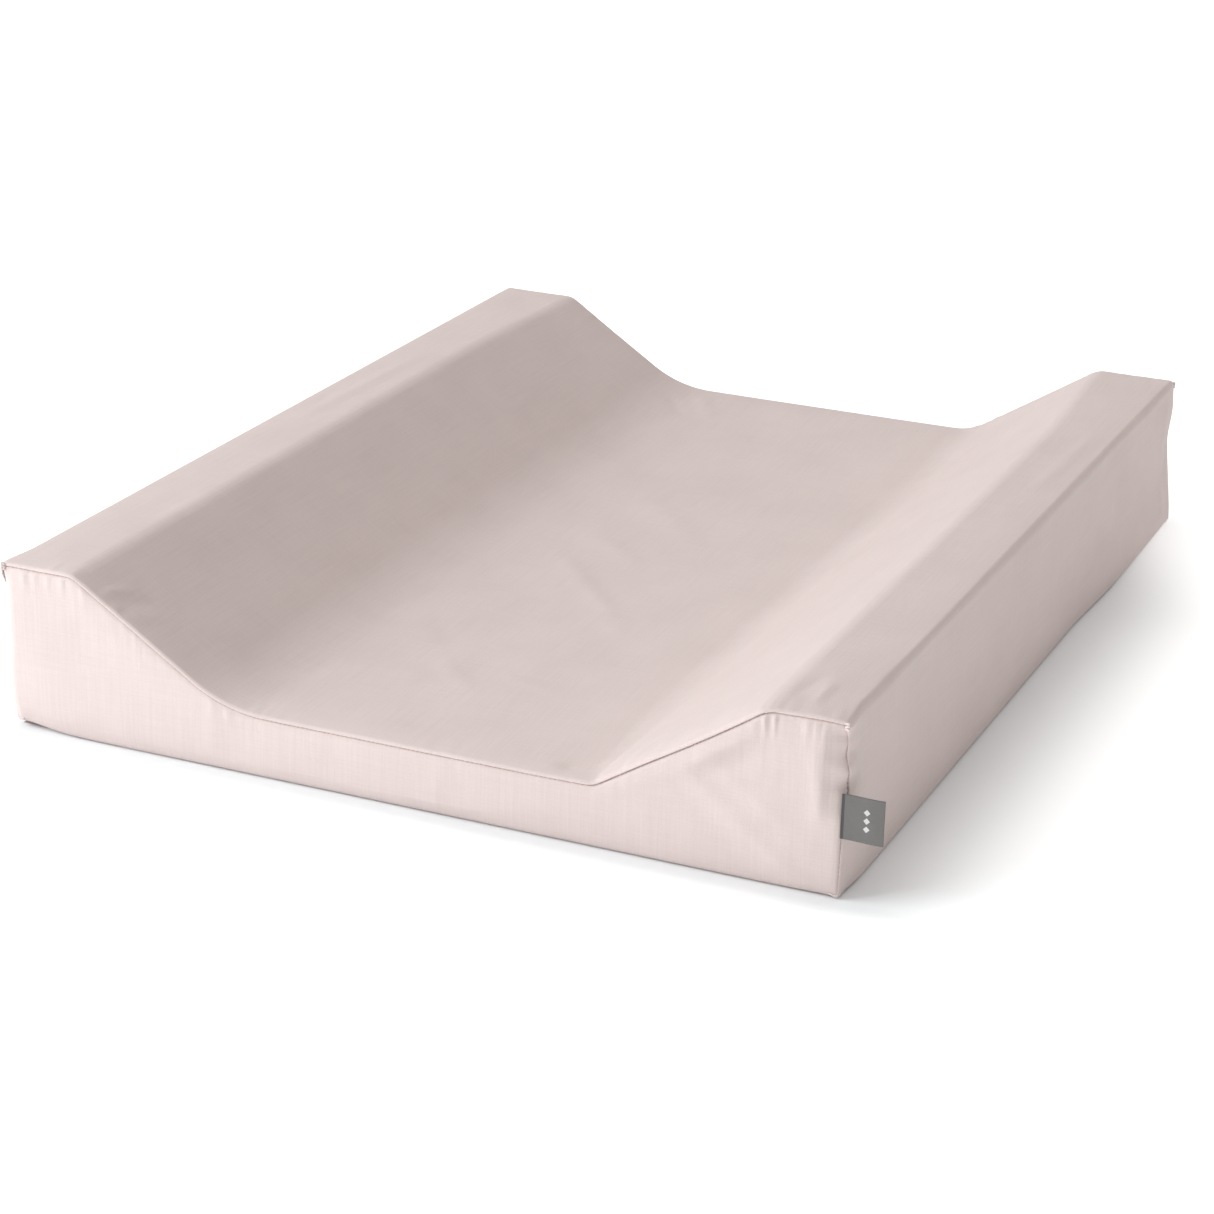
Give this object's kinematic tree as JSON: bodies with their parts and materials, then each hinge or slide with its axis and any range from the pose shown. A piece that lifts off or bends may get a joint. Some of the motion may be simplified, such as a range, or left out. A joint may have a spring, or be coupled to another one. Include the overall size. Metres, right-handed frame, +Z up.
{
  "type": "changing pad",
  "caption": "Contoured foam baby changing pad with raised long sides, a waterproof liner and a removable zipped cotton cover.",
  "frame": {"origin": "centre of the underside, which rests on the table", "axes": "+Z up, +Y along the pad towards the zipped end, +X across it towards the side with the label"},
  "size_m": [0.522, 0.6565, 0.1],
  "materials": {
    "foam": "open-cell foam",
    "liner_film": "smooth coated knit",
    "cover_cotton": "slub plain weave",
    "zip_tape": "ribbed woven tape",
    "zip_coil": "satin nylon",
    "zip_metal": "satin enamel",
    "label_satin": "woven satin",
    "care_satin": "printed satin, blank",
    "thread": "twisted polyester"
  },
  "bodies": {
    "pad": {"foam_core": "foam", "liner_wrap": "liner_film", "liner_bottom": "liner_film", "liner_front_end": "liner_film", "liner_back_end": "liner_film", "cover_wrap": "cover_cotton", "cover_bottom": "cover_cotton", "cover_front_end": "cover_cotton", "cover_back_end": "cover_cotton", "cover_zip_facing": "cover_cotton", "zip_tape_upper": "zip_tape", "zip_tape_lower": "zip_tape", "zip_coil_upper": "zip_coil", "zip_coil_lower": "zip_coil", "zip_top_stops": "zip_metal", "zip_bottom_stop": "zip_metal", "care_label": "care_satin", "front_seam_thread": "thread", "back_seam_thread": "thread", "zip_seam_threads": "thread"},
    "slider": {"zip_slider": "zip_metal"},
    "pull": {"zip_pull": "zip_metal"},
    "label": {"side_label": "label_satin"}
  },
  "joints": [
    {"name": "zip_slide", "type": "slide", "parent": "pad", "child": "slider", "axis": [-1, 0, 0], "range_m": [0, 0.449]},
    {"name": "pull_swing", "type": "hinge", "parent": "slider", "child": "pull", "pos_m": [0.225, 0.3286, 0.017], "axis": [0, 0, -1], "range_deg": [0, 170]},
    {"name": "label_flap", "type": "hinge", "parent": "pad", "child": "label", "pos_m": [0.25055, -0.32555, 0.0475], "axis": [0, 0, 1], "range_deg": [-170, 75], "stiffness_Nm_per_rad": 0.0004}
  ]
}
